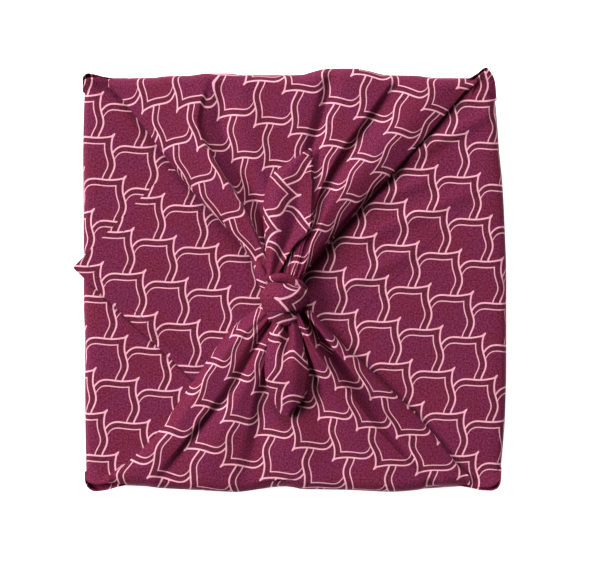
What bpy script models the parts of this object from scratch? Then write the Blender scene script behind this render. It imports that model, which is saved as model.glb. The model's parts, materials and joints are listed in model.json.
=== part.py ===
"""Furoshiki wrap: a square of cloth folded round a flat square parcel and tied on top in a reef knot.

The cloth is one solid. It is made of the stretches that the folding gives it, each a thin sheet on
its own folds, and the stretches are joined where the cloth runs on from one to the next:

    tray        the underside and the four side walls
    flap_left   folded in from the left wall, lying on the parcel
    flap_right  folded in from the right wall over flap_left, its corner just past the left wall
    fan_far     gathered from the +Y wall to the knot, its side edges turned under
    fan_near    gathered from the -Y wall to the knot, its side edges turned under
    lips        the loose ears of cloth at the four corners of the parcel
    knot, tails the reef knot and the two corners of the cloth that leave it

Tables are in millimetres, seen from above, with the parcel's middle at TABLE_ORIGIN. The mesh is in
metres, +Z up, with the middle of the outline on the origin and the underside at z = 0.
"""
import math

import bmesh
import bpy
import numpy as np

MM = 0.001

# Driving sizes, in millimetres.
WALL = 1.6                    # thickness of the tray, where the cloth is doubled at the corners
SHEET = 1.2                   # thickness of the flaps, fans and tails
LAYER_GAP = 0.6               # air between one layer of the folding and the next
PARCEL_HEIGHT = 25.8          # from the surface to the top of the lowest flap
SHOULDER = 5.0                # radius with which the cloth turns over the parcel's upper edge
FOOT = 4.5                    # how far the wall draws in at the surface
CORNER = 12.0                 # radius of the parcel's corners, seen from above
TRAY_TOP = 19.0               # height at which the walls hand over to the flaps and fans
SKIRT_FOOT = 15.0             # height to which each flap or fan reaches down into its wall
FLAP_HALF_WIDTH = 147.0       # of the side flaps, inside the two end walls
FOLD_RISE = 2.6               # from a turned-under layer to the layer above it
TABLE_ORIGIN = (2.3, -1.4)    # where the tables' zero lies in the part's own frame

# The sides of the parcel, walked counter-clockwise from above: the way walked, the way out, and the
# sign that the walk has in the outline's table.
SIDES = (("near", (1, 0), (0, -1), 1), ("right", (0, 1), (1, 0), 1),
         ("far", (-1, 0), (0, 1), -1), ("left", (0, -1), (-1, 0), -1))
NAMES = [side[0] for side in SIDES]
SIDE_POINTS = 15              # points along each side of the tray
FAN_SPAN = 3                  # steps from one fold line of a fan to the next
TAIL_SPAN = 2

# Heights of the middle of each layer.
Z_LEFT = PARCEL_HEIGHT - SHEET / 2
Z_RIGHT = Z_LEFT + SHEET + LAYER_GAP
Z_FAN = Z_RIGHT + SHEET + LAYER_GAP

# The parcel's outline: along each side, where the outermost cloth lies.
OUTLINE = {
    "far": {      # x, y
        "along": (-150, -131, -102, -96, -77, -66, -49, -37, 4, 17, 26, 44, 57, 68, 91, 102, 125, 146),
        "out": (150.5, 151.1, 151.1, 152.6, 152.9, 154.8, 154.8, 153.3, 153.3, 157.0, 158.5, 158.5,
                156.2, 153.3, 152.9, 151.1, 151.1, 150.5)},
    "near": {     # x, -y
        "along": (-150, -128, -111, -100, -75, -53, -43, -26, -7, 7, 35, 72, 91, 102, 123, 134, 148),
        "out": (150.0, 150.3, 150.8, 152.6, 154.0, 155.5, 155.9, 153.7, 150.8, 153.7, 154.0, 155.5,
                154.0, 151.1, 150.8, 151.5, 150.5)},
    "left": {     # y, -x
        "along": (-150, -100, -43, -13, 62, 96, 141, 150),
        "out": (154.0, 155.0, 155.2, 156.1, 156.3, 156.7, 155.6, 154.5)},
    "right": {    # y, x
        "along": (-150, -139, -128, -100, -54, 5, 45, 74, 96, 127, 147),
        "out": (151.0, 153.3, 154.4, 156.6, 157.4, 157.4, 156.1, 154.4, 152.1, 149.8, 147.5)},
}

# Fold lines of a fan, left to right. Each has five points from the parcel's edge to the knot, and each
# point is x, y, rise, the rise being that of the cloth above the turned-under layer.
FAN_FAR = (
    ("edge left",    ((-146, 148, 3.0), (-112, 115, 2.8), (-76, 64, 2.8), (-44, 29, 3.5), (-18, 2, 6.0))),
    ("crest 1",      ((-78, 149, 4.0), (-72, 120, 6.5), (-61, 98, 8.0), (-45, 70, 10.0), (-15, 2, 10.5))),
    ("valley 1",     ((-57, 149, 3.2), (-54, 121, 3.6), (-47, 97, 4.0), (-39, 70, 5.0), (-13, 2, 7.0))),
    ("crest 2",      ((-40, 149, 4.5), (-38, 124, 6.5), (-33, 98, 7.0), (-26, 68, 8.5), (-11, 2, 10.5))),
    ("crest 3",      ((18, 149, 6.5), (13, 124, 6.5), (7, 98, 6.0), (0, 62, 6.5), (-7, 2, 10.5))),
    ("valley 4",     ((27, 149, 3.4), (23, 122, 3.2), (14, 97, 3.2), (7, 62, 4.0), (-4, 2, 8.0))),
    ("crest 5",      ((66, 149, 5.5), (49, 120, 7.0), (33, 95, 8.0), (17, 62, 9.0), (-1, 2, 10.5))),
    ("valley 5",     ((75, 149, 3.4), (61, 122, 3.6), (46, 98, 3.6), (28, 68, 4.0), (1, 2, 7.0))),
    ("crest 6",      ((108, 149, 5.0), (91, 122, 8.0), (69, 94, 9.0), (42, 62, 10.0), (3, 2, 10.0))),
    ("edge right",   ((139, 148, 3.0), (106, 116, 3.2), (74, 80, 3.2), (38, 42, 4.0), (5, 3, 6.0))),
)
FAN_NEAR = (
    ("edge left",    ((-136, -148, 3.0), (-103, -113, 2.8), (-76, -76, 2.8), (-45, -34, 3.5), (-16, -22, 6.0))),
    ("crest 1",      ((-106, -149, 4.0), (-82, -108, 7.5), (-58, -76, 9.0), (-37, -44, 10.5), (-13, -22, 10.5))),
    ("valley 1",     ((-97, -149, 3.0), (-74, -110, 3.4), (-49, -77, 3.8), (-30, -46, 5.0), (-11, -22, 8.0))),
    ("crest 2",      ((-47, -149, 5.5), (-38, -112, 7.5), (-29, -78, 8.0), (-22, -48, 9.5), (-9, -22, 10.5))),
    ("valley 2",     ((-36, -149, 3.0), (-27, -112, 3.2), (-20, -80, 3.4), (-15, -52, 4.5), (-7, -22, 8.0))),
    ("crest 3",      ((10, -149, 4.5), (4, -112, 6.0), (1, -82, 6.0), (-3, -54, 7.0), (-5, -22, 10.0))),
    ("crest 4",      ((84, -149, 5.0), (56, -108, 7.0), (35, -77, 8.5), (13, -52, 10.0), (-2, -22, 10.5))),
    ("valley 4",     ((104, -149, 3.2), (68, -108, 3.4), (45, -75, 3.6), (18, -48, 4.5), (0, -22, 8.0))),
    ("crest 5",      ((121, -149, 4.0), (87, -106, 6.0), (56, -72, 7.5), (25, -44, 8.5), (2, -22, 10.0))),
    ("edge right",   ((132, -148, 3.0), (98, -105, 3.2), (65, -66, 3.2), (36, -36, 4.0), (5, -20, 6.0))),
)
FOLD_STATIONS = (0.0, 0.25, 0.5, 0.75, 1.0)
FAN_ROWS = (0.0, 0.05, 0.1, 0.17, 0.28, 0.42, 0.56, 0.7, 0.85, 1.0)

ROLL_DONE = 0.17              # place along a fan by which its side edges are turned right under
ROLL_LENGTHS = ((0.0, 0.05, 0.1, 0.17, 0.28, 0.7, 0.85, 1.0),    # places along the fan
                (4.0, 3.4, 4.6, 6.5, 14.0, 12.0, 7.0, 4.5))      # cloth in the turned-under edge

# Fold lines of a tail, left to right, from inside the knot to its point. Each point is x, y, rise.
TAIL_UP = (
    ("edge left",  ((-14, -4, 14.5), (-18, 24, 15.5), (-22, 50, 15.0), (-18, 76, 12.5), (5, 94, 10.5))),
    ("ridge",      ((-9, -4, 17.0), (-11, 24, 20.0), (-10, 50, 18.5), (-6, 74, 15.5), (8, 95, 11.5))),
    ("hollow",     ((-6, -4, 16.0), (-3, 24, 16.0), (1, 50, 14.5), (4, 74, 12.5), (10, 96, 11.0))),
    ("edge right", ((-1, -4, 15.0), (5, 25, 16.5), (14, 50, 16.0), (14, 76, 13.0), (13, 97, 10.5))),
)
TAIL_DOWN = (
    ("edge left",  ((-13, -18, 14.5), (-17, -38, 15.5), (-22, -62, 15.5), (-18, -83, 13.0), (-9.5, -98, 11.0))),
    ("ridge",      ((-8, -18, 17.0), (-9, -38, 20.0), (-8, -62, 19.0), (-7, -84, 16.0), (-5, -99, 12.0))),
    ("hollow",     ((-5, -18, 16.0), (-3, -38, 17.0), (0, -62, 17.0), (-1, -84, 14.5), (-4, -99, 11.5))),
    ("edge right", ((0, -18, 15.0), (3, -38, 16.0), (11, -62, 16.0), (6, -85, 13.0), (-0.5, -98, 11.0))),
)
TAIL_ROWS = (0.0, 0.12, 0.25, 0.38, 0.5, 0.62, 0.75, 0.88, 1.0)

# The rims of the corner ears: x, y and how far the rim stands above the parcel's top.
LIPS = {
    "far left": ((-156, 138, -6), (-156, 146, -1), (-155, 151, 1), (-152, 154, 2), (-145, 152, 1), (-134, 150, -4)),
    "far right": ((122, 150, -5), (133, 152, 0), (141, 157, 4), (146, 153, 3), (149, 145, 1), (149.5, 136, -5)),
    "near left": ((-155, -139, -6), (-155, -147, -2), (-152, -153, 0), (-145, -155, 0), (-136, -153, 0),
                  (-127, -150, -4)),
    "near right": ((124, -151, -5), (135, -153, -1), (147, -154, 1), (152, -150, 1), (153, -139, -6)),
}
LIP_FOOT = 6.0                # height at which an ear leaves its wall

# The right flap: x of each row with the y of its two edges, then the soft wrinkles pulled into it.
FLAP_RIGHT_TIP = (-162.8, 10.5)
FLAP_RIGHT_SLOPES = (1.02, 0.93)        # of its far and near free edges, in y for each x
FLAP_RIGHT_ROWS = (143, 130, 112, 92, 72, 52, 30, 8, -14, -36, -58, -82, -106, -128, -146, -156, -162)
FLAP_LEFT_TIP = (148.0, 0.0)
FLAP_LEFT_ROWS = (-142, -118, -90, -60, -30, 0, 40, 80, 118, 146)
WRINKLES = (                            # start x, y, end x, y, half width, rise
    (36, 52, 92, 72, 7.0, 1.2),
    (84, 92, 140, 122, 6.5, 1.6),
    (40, -2, 82, 20, 8.0, 1.0),
    (56, 34, 120, 62, 8.0, 1.0),
)

# The knot: bundles of cloth. Each row is x, y, z, half width across the bundle, half height.
KNOT_BUNDLES = {
    "heart": ((-24, -9.5, 38.5, 6, 5), (-18, -10, 39, 14, 9.5), (-8, -10.5, 39.5, 17, 10.5), (2, -10.5, 39, 14, 9.5),
              (8, -10, 38, 6, 5)),
    "band": ((-21, -11, 32, 7, 4), (-21.5, -10, 39, 9, 4.5), (-16, -11, 45, 10.5, 5.5), (-8, -13, 47.5, 11.5, 6),
             (0, -13, 45, 11, 5.5), (5.5, -11, 39, 9, 4.5), (5, -11, 32, 7, 4)),
    "roll": ((-21, -2, 37, 4.5, 4), (-19.5, 4, 42.5, 4.5, 4), (-9, 4.5, 45, 4.5, 4), (3, 1, 42.5, 4.5, 4),
             (6, -3, 36, 4.5, 4)),
}
KNOT_STEPS = 10
KNOT_SIDES = 12


def curve_through(knots, values, at):
    """A smooth curve through the values, with no overshoot, read at the places in at."""
    knots, values, at = (np.asarray(item, float) for item in (knots, values, at))
    columns = values.reshape(len(knots), -1)
    step = np.diff(knots)[:, None]
    slope = np.diff(columns, axis=0) / step
    before, after = slope[:-1], slope[1:]
    agree = before * after > 0
    total = np.where(agree, before + after, 1.0)
    middle = np.where(agree, 2 * before * after / total, 0.0)
    tangent = np.vstack([slope[:1], middle, slope[-1:]])
    i = np.clip(np.searchsorted(knots, at, side="right") - 1, 0, len(step) - 1)
    u = ((at - knots[i]) / step[i, 0])[:, None]
    result = ((1 + 2 * u) * (1 - u) ** 2 * columns[i] + u * (1 - u) ** 2 * step[i] * tangent[i]
              + u * u * (3 - 2 * u) * columns[i + 1] + u * u * (u - 1) * step[i] * tangent[i + 1])
    return result.reshape(at.shape + values.shape[1:])


def ease(u):
    """A rise from 0 to 1 that is level at both ends."""
    return (1 - np.cos(math.pi * np.clip(u, 0, 1))) / 2


def outline(side, along):
    """How far out the cloth lies on one side of the parcel."""
    table = OUTLINE[side]
    return curve_through(table["along"], table["out"], np.clip(along, table["along"][0], table["along"][-1]))


def wall_inset(z):
    """How far the middle of a wall lies inside the outline at height z."""
    foot = FOOT * (1 - np.clip(z / 7.0, 0, 1)) ** 2
    return foot + WALL / 2


def to_object(name, points, faces):
    """An object from points in the tables' frame."""
    shifted = (np.asarray(points, float) + (TABLE_ORIGIN[0], TABLE_ORIGIN[1], 0)) * MM
    mesh = bpy.data.meshes.new(name)
    mesh.from_pydata(shifted.tolist(), [], faces)
    mesh.update()
    result = bpy.data.objects.new(name, mesh)
    bpy.context.scene.collection.objects.link(result)
    return result


def thicken(piece, thickness):
    """Give a sheet its thickness, half on each side of its middle."""
    solid = piece.modifiers.new("thickness", "SOLIDIFY")
    solid.thickness = thickness * MM
    solid.offset = 0.0
    return piece


def grid_sheet(name, grid, thickness=SHEET):
    """A closed thin sheet on a grid of points, rows by columns."""
    rows, columns, _ = grid.shape
    faces = [(r * columns + c, r * columns + c + 1, (r + 1) * columns + c + 1, (r + 1) * columns + c)
             for r in range(rows - 1) for c in range(columns - 1)]
    return thicken(to_object(name, grid.reshape(-1, 3), faces), thickness)


def perimeter():
    """The parcel's outline, counter-clockwise from above: a ring of x, y and its outward directions."""
    points, outward = [], []
    steps = np.linspace(-1, 1, SIDE_POINTS) * (FLAP_HALF_WIDTH - CORNER)
    for side, walk, out, sign in SIDES:
        walk, out = np.array(walk, float), np.array(out, float)
        along = steps[:, None] * walk + outline(side, sign * steps)[:, None] * out
        points += list(along)
        outward += [out] * len(along)
        following, _, _, next_sign = SIDES[(NAMES.index(side) + 1) % 4]
        start = out * steps[-1] + walk * outline(following, next_sign * steps[:1])
        tip = walk * (start @ walk) + out * (along[-1] @ out)
        for t in (1 / 3, 2 / 3):
            points.append((1 - t) ** 2 * along[-1] + 2 * t * (1 - t) * tip + t * t * start)
            turn = t * math.pi / 2
            outward.append(out * math.cos(turn) + walk * math.sin(turn))
    return np.array(points), np.array(outward)


def tray():
    """The underside and the four walls, open at the top."""
    ring, outward = perimeter()
    levels = [(FOOT * 2, WALL / 2), (FOOT, WALL / 2)] + [(None, z) for z in (2.2, 8.0, TRAY_TOP)]
    rows = []
    for inset, z in levels:
        drawn_in = wall_inset(z) if inset is None else inset + WALL / 2
        rows.append(np.column_stack([ring - outward * drawn_in, np.full(len(ring), z)]))
    count = len(ring)
    faces = [(r * count + c, r * count + (c + 1) % count, (r + 1) * count + (c + 1) % count, (r + 1) * count + c)
             for r in range(len(rows) - 1) for c in range(count)]
    faces.append(tuple(reversed(range(count))))
    return thicken(to_object("furoshiki_cloth", np.vstack(rows), faces), WALL)


def shoulder(side, along, top, rise):
    """Rows of a sheet from its wall over the parcel's upper edge: skirt, wall, two steps of the turn.

    Each row is the distance outward and the height, for every place along the side.
    """
    out = outline(side, along) - WALL / 2
    turn = SHOULDER + rise / 2
    rows = [(out, SKIRT_FOOT + 0 * out), (out, TRAY_TOP + 0 * out)]
    for angle in (25, 60):
        a = math.radians(angle)
        rows.append((out - turn * (1 - math.cos(a)), top + rise - turn * (1 - math.sin(a))))
    return rows


def rolled_edge(edge, following, rise, turn, length, foot):
    """The side edge of a sheet, rolled under by the angle turn: its points from the free end inward.

    The roll's radius is half the rise, so an edge that is turned right under lies at foot, and
    less where the following column is too near for that.
    """
    inward = following - edge
    step = np.linalg.norm(inward)
    inward = inward / step
    radius = min(rise / 2, 0.6 * step)
    points = []
    quarter = min(math.pi * radius / 2, length / 3)
    for arc in (length, 2 * quarter, quarter, 0.0):
        angle = min(arc / radius, turn)
        straight = arc - angle * radius
        out = radius * math.sin(angle) + straight * math.cos(angle)
        down = radius * (1 - math.cos(angle)) + straight * math.sin(angle)
        if turn == 0:
            out, down = arc, 0.0
        points.append((*(edge + inward * (radius - out)), foot + rise - down))
    return points


def tucked(points, rise, turn, length, foot):
    """One row of a sheet whose side edges are turned under; rise is the height of each point above foot."""
    sides = []
    for edge, following in ((0, 1), (-1, -2)):
        sides.append(rolled_edge(points[edge], points[following], rise[edge], turn, length, foot))
    middle = np.column_stack([points[1:-1], foot + rise[1:-1]])
    return np.vstack([sides[0], middle, sides[1][::-1]])


def across(lines, steps):
    """Columns between fold lines: the folds rise and fall smoothly from crest to valley."""
    lines = np.asarray(lines, float)
    fractions = np.linspace(0, 1, steps + 1)[:-1]
    result = []
    for a, b in zip(lines[:-1], lines[1:]):
        for u in fractions:
            point = a + (b - a) * u
            point[2] = a[2] + (b[2] - a[2]) * ease(u)
            result.append(point)
    result.append(lines[-1])
    return np.array(result)


def station(lines, q):
    """Where fold lines run at the place q between their two ends."""
    return np.array([curve_through(FOLD_STATIONS, points, [q])[0] for points in lines])


def fan(name, side, table):
    """A gathered end of the cloth, from its wall to inside the knot."""
    sign = 1 if side == "far" else -1
    lines = np.array([points for _, points in table], float)
    start = lines[:, 0]
    start[:, 1] = sign * (outline(side, start[:, 0]) - WALL / 2 - SHOULDER - start[:, 2] / 2)
    rows = []
    for q in FAN_ROWS:
        folds = station(lines, q)
        columns = across(folds, FAN_SPAN)
        turn = math.pi * np.interp(q, (0.0, ROLL_DONE), (0.0, 1.0))
        length = np.interp(q, *ROLL_LENGTHS)
        rows.append(tucked(columns[:, :2], columns[:, 2], turn, length, Z_FAN))
    along, rise = rows[0][:, 0], rows[0][:, 2] - Z_FAN
    skirt = [np.column_stack([along, sign * out, z]) for out, z in shoulder(side, along, Z_FAN, rise)]
    return grid_sheet(name, np.array(skirt + rows))


def tail(name, table):
    """A corner of the cloth leaving the knot, its edges turned under along both sides."""
    lines = np.array([points for _, points in table], float)
    rows = []
    for q in TAIL_ROWS:
        columns = across(station(lines, q), TAIL_SPAN)
        width = np.linalg.norm(columns[-1, :2] - columns[0, :2])
        layer = columns[[0, -1], 2].min() - FOLD_RISE
        length = min(math.pi * FOLD_RISE / 2 + 5.0, width / 2)
        rows.append(tucked(columns[:, :2], columns[:, 2] - layer, math.pi, length, Z_FAN + layer))
    return grid_sheet(name, np.array(rows))


def wrinkle_rise(x, y):
    """Height that the pulled wrinkles add to the right flap."""
    rise = np.zeros(np.broadcast(x, y).shape)
    for x0, y0, x1, y1, half_width, height in WRINKLES:
        length = math.hypot(x1 - x0, y1 - y0)
        along = ((x - x0) * (x1 - x0) + (y - y0) * (y1 - y0)) / length ** 2
        aside = ((x - x0) * (y1 - y0) - (y - y0) * (x1 - x0)) / length
        beyond = (np.maximum(-along, 0) + np.maximum(along - 1, 0)) * length
        rise = np.maximum(rise, height * ease(1 - np.hypot(beyond, aside) / half_width))
    return rise


def side_flap(name, side, rows_x, columns, tip, slopes, top, rise=None):
    """A side flap: straight across the parcel, then narrowing to the corner of the cloth."""
    sign = 1 if side == "right" else -1
    spread = np.linspace(-1, 1, columns)
    edge_y = spread * FLAP_HALF_WIDTH
    rows = [np.column_stack([sign * out, edge_y, z]) for out, z in shoulder(side, edge_y, top, 0 * edge_y)]
    for x in rows_x:
        reach = abs(x - tip[0]) + 1.0
        high = min(FLAP_HALF_WIDTH, tip[1] + slopes[0] * reach)
        low = max(-FLAP_HALF_WIDTH, tip[1] - slopes[1] * reach)
        y = (high + low) / 2 + spread * (high - low) / 2
        z = top + (rise(x, y) if rise else 0 * y)
        rows.append(np.column_stack([np.full(columns, x), y, z]))
    return grid_sheet(name, np.array(rows))


def nearest_on_wall(point):
    """The place on the middle of the wall that lies nearest to a point beside the parcel."""
    ring, outward = perimeter()
    wall = ring - outward * WALL / 2
    following = np.roll(wall, -1, axis=0)
    edge = following - wall
    t = np.clip(((point - wall) * edge).sum(1) / (edge ** 2).sum(1), 0, 1)[:, None]
    candidates = wall + edge * t
    return candidates[np.argmin(((candidates - point) ** 2).sum(1))]


def lip(name, rim):
    """A loose ear of cloth at a corner, standing a little off the wall that it grows from."""
    rim = np.array(rim, float)
    at = np.linspace(0, 1, 2 * len(rim) - 1)
    rim = curve_through(np.linspace(0, 1, len(rim)), rim, at)
    foot = np.array([nearest_on_wall(point[:2]) for point in rim])
    rows = [np.column_stack([foot, np.full(len(foot), LIP_FOOT)]),
            np.column_stack([foot * 0.45 + rim[:, :2] * 0.55, np.full(len(foot), (LIP_FOOT + TRAY_TOP) / 2)]),
            np.column_stack([rim[:, :2], Z_FAN + rim[:, 2]])]
    return grid_sheet(name, np.array(rows))


def bundle(name, table):
    """A closed bundle of cloth along a route, oval across."""
    table = np.array(table, float)
    route = curve_through(np.linspace(0, 1, len(table)), table, np.linspace(0, 1, KNOT_STEPS))
    points, angles = [], np.linspace(0, 2 * math.pi, KNOT_SIDES, endpoint=False)
    forward = np.gradient(route[:, :3], axis=0)
    for place, ahead in zip(route, forward):
        ahead = ahead / np.linalg.norm(ahead)
        wide = np.cross((0.0, 0.0, 1.0), ahead) if abs(ahead[2]) < 0.9 else np.array((0.0, 1.0, 0.0))
        wide = wide / np.linalg.norm(wide)
        tall = np.cross(ahead, wide)
        for a in angles:
            points.append(place[:3] + wide * place[3] * math.cos(a) + tall * place[4] * math.sin(a))
    faces = [(r * KNOT_SIDES + c, r * KNOT_SIDES + (c + 1) % KNOT_SIDES,
              (r + 1) * KNOT_SIDES + (c + 1) % KNOT_SIDES, (r + 1) * KNOT_SIDES + c)
             for r in range(KNOT_STEPS - 1) for c in range(KNOT_SIDES)]
    faces.append(tuple(reversed(range(KNOT_SIDES))))
    faces.append(tuple(range((KNOT_STEPS - 1) * KNOT_SIDES, KNOT_STEPS * KNOT_SIDES)))
    return to_object(name, points, faces)


def join(cloth, stretches):
    """Unite the stretches with the tray, and leave out what the union closes off inside the knot."""
    joined = bpy.data.collections.new("stretches")
    bpy.context.scene.collection.children.link(joined)
    for stretch in stretches:
        bpy.context.scene.collection.objects.unlink(stretch)
        joined.objects.link(stretch)
    union = cloth.modifiers.new("joined", "BOOLEAN")
    union.operation = "UNION"
    union.operand_type = "COLLECTION"
    union.collection = joined
    union.solver = "EXACT"
    union.use_self = True
    bpy.context.view_layer.update()
    whole = bpy.data.meshes.new_from_object(cloth.evaluated_get(bpy.context.evaluated_depsgraph_get()))
    cloth.modifiers.clear()
    cloth.data = whole
    for stretch in stretches:
        bpy.data.objects.remove(stretch, do_unlink=True)
    keep_largest_shell(whole)


def keep_largest_shell(mesh):
    """Delete every part of the mesh that isn't connected with its largest one."""
    form = bmesh.new()
    form.from_mesh(mesh)
    unvisited, shells = set(form.verts), []
    while unvisited:
        shell, front = set(), [unvisited.pop()]
        while front:
            vertex = front.pop()
            shell.add(vertex)
            beside = {edge.other_vert(vertex) for edge in vertex.link_edges} & unvisited
            unvisited -= beside
            front += beside
        shells.append(shell)
    largest = max(shells, key=len)
    bmesh.ops.delete(form, geom=[vertex for vertex in form.verts if vertex not in largest], context="VERTS")
    form.to_mesh(mesh)
    form.free()


def cotton():
    """Plum printed cotton."""
    material = bpy.data.materials.new("plum_cotton")
    material.use_nodes = True
    shader = material.node_tree.nodes["Principled BSDF"]
    shader.inputs["Base Color"].default_value = (0.24, 0.032, 0.091, 1.0)
    shader.inputs["Roughness"].default_value = 0.85
    shader.inputs["Metallic"].default_value = 0.0
    return material


def build():
    """Make the stretches of cloth and join them into the one cloth that they are."""
    for old in list(bpy.data.objects):
        bpy.data.objects.remove(old, do_unlink=True)
    cloth = tray()
    stretches = [
        side_flap("flap_left", "left", FLAP_LEFT_ROWS, 10, FLAP_LEFT_TIP, (1.0, 1.0), Z_LEFT),
        side_flap("flap_right", "right", FLAP_RIGHT_ROWS, 16, FLAP_RIGHT_TIP, FLAP_RIGHT_SLOPES, Z_RIGHT,
                  wrinkle_rise),
        fan("fan_far", "far", FAN_FAR),
        fan("fan_near", "near", FAN_NEAR),
        tail("tail_up", TAIL_UP),
        tail("tail_down", TAIL_DOWN),
    ]
    stretches += [lip("lip_" + corner.replace(" ", "_"), rim) for corner, rim in LIPS.items()]
    stretches += [bundle("knot_" + part, table) for part, table in KNOT_BUNDLES.items()]
    join(cloth, stretches)
    cloth.data.materials.append(cotton())


build()
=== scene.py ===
"""A furoshiki wrap: one square of printed cotton folded round a flat square parcel, tied in a reef knot.

The cloth is laid in the stretches that the folding gives it, on the folds of the solid, and joined.
Tables are in millimetres, seen from above, with the parcel's middle at TABLE_ORIGIN.
"""

import json
import math

import bpy
import numpy as np
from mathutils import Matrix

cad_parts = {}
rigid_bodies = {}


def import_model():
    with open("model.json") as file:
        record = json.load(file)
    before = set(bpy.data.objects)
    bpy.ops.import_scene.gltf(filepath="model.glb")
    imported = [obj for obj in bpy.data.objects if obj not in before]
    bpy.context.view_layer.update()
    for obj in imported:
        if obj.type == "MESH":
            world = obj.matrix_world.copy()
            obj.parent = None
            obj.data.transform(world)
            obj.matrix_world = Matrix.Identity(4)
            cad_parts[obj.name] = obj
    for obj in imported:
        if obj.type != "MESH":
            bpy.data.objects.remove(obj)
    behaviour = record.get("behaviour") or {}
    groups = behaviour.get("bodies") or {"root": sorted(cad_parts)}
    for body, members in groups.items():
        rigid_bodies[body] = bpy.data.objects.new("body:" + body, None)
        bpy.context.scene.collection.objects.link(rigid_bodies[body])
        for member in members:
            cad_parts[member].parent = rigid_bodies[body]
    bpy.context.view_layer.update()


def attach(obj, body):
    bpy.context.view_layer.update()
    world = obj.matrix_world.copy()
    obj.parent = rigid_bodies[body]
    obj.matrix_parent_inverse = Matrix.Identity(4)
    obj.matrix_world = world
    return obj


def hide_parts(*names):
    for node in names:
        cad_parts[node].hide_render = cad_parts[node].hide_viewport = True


bl_info = {
    "name": "Furoshiki wrap",
    "version": (1, 0, 0),
    "blender": (4, 5, 0),
    "location": "3D View > Sidebar > Furoshiki",
    "description": "Folds and ties a square of printed cotton round a flat square parcel",
    "category": "Add Mesh",
}

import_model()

MM = 0.001
TABLE_ORIGIN = (2.3, -1.4)

# The parcel and the layers of cloth on it, in millimetres.
SHEET = 1.2  # thickness that the solid gives one layer
LAYER_GAP = 0.6
PARCEL_HEIGHT = 25.8
SHOULDER = 5.0  # radius with which the cloth turns over the parcel's upper edge
FOOT = 4.5  # radius with which the cloth turns under the parcel
CORNER = 10.0  # radius of the parcel's upright corners
BELLY = 1.1  # how far a wall's middle stands out past its foot and its upper edge
FLAP_HALF_WIDTH = 148.5
BASE_HEIGHT = 0.3  # of the cloth's middle under the parcel
Z_LEFT = PARCEL_HEIGHT - SHEET / 2
Z_RIGHT = Z_LEFT + SHEET + LAYER_GAP
Z_FAN = Z_RIGHT + SHEET + LAYER_GAP
HEM = 7.6  # from the cloth's side to the stitching of its hem
HEM_FOLD = 0.9  # height of a hem's turned edge
HEM_CLEAR = 0.6  # by which a hem's turned layer ends before its stitching
HEM_SHARE = 0.4  # of a flap's width that one hem may take near the tip

# The rows of cloth in a wall: places under the parcel as shares of the way out, then the turn at the
# foot, steps up the wall, and the turn over the upper edge. Turns are in degrees.
UNDER_SHARES = (0.02, 0.25, 0.5, 0.72, 0.86)
FOOT_TURNS = (0, 22, 45, 67, 90)
WALL_STEPS = 10
SHOULDER_TURNS = (15, 30, 45, 60, 75)
CORNER_AT = 150.0  # where, along the neighbouring side, its outline gives a side's corner
FOOT_POSTS = (-150, -75, 0, 75, 150)  # places between which a wall's foot runs straight
FOOT_BACK = 0.5  # how far the foot lies inside the outline there

# Each side of the parcel: the way along it, the way out of it, the way out in the print's
# coordinates, and whether its sheet's faces are wound the other way.
SIDES = {
    "right": ((0, 1), (1, 0), (1, 0), False),
    "left": ((0, 1), (-1, 0), (-1, 0), True),
    "far": ((1, 0), (0, 1), (0, -1), True),
    "near": ((1, 0), (0, -1), (0, 1), False),
}

# For each side: places along it, and how far out the outermost cloth lies at each of them.
OUTLINE = {
    "far": ((-150, -131, -102, -96, -77, -66, -49, -37, 4, 17, 26, 44, 57, 68, 91, 102, 125, 146),
            (150.5, 151.1, 151.1, 152.6, 152.9, 154.8, 154.8, 153.3, 153.3, 157, 158.5, 158.5, 156.2, 153.3,
             152.9, 151.1, 151.1, 150.5)),
    "near": ((-150, -128, -111, -100, -75, -53, -43, -26, -7, 7, 35, 72, 91, 102, 123, 134, 148),
             (150, 150.3, 150.8, 152.6, 154, 155.5, 155.9, 153.7, 150.8, 153.7, 154, 155.5, 154, 151.1,
              150.8, 151.5, 150.5)),
    "left": ((-150, -100, -43, -13, 62, 96, 141, 150),
             (154, 155, 155.2, 156.1, 156.3, 156.7, 155.6, 154.5)),
    "right": ((-150, -139, -128, -100, -54, 5, 45, 74, 96, 127, 147),
              (151, 153.3, 154.4, 156.6, 157.4, 157.4, 156.1, 154.4, 152.1, 149.8, 147.5)),
}

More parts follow.
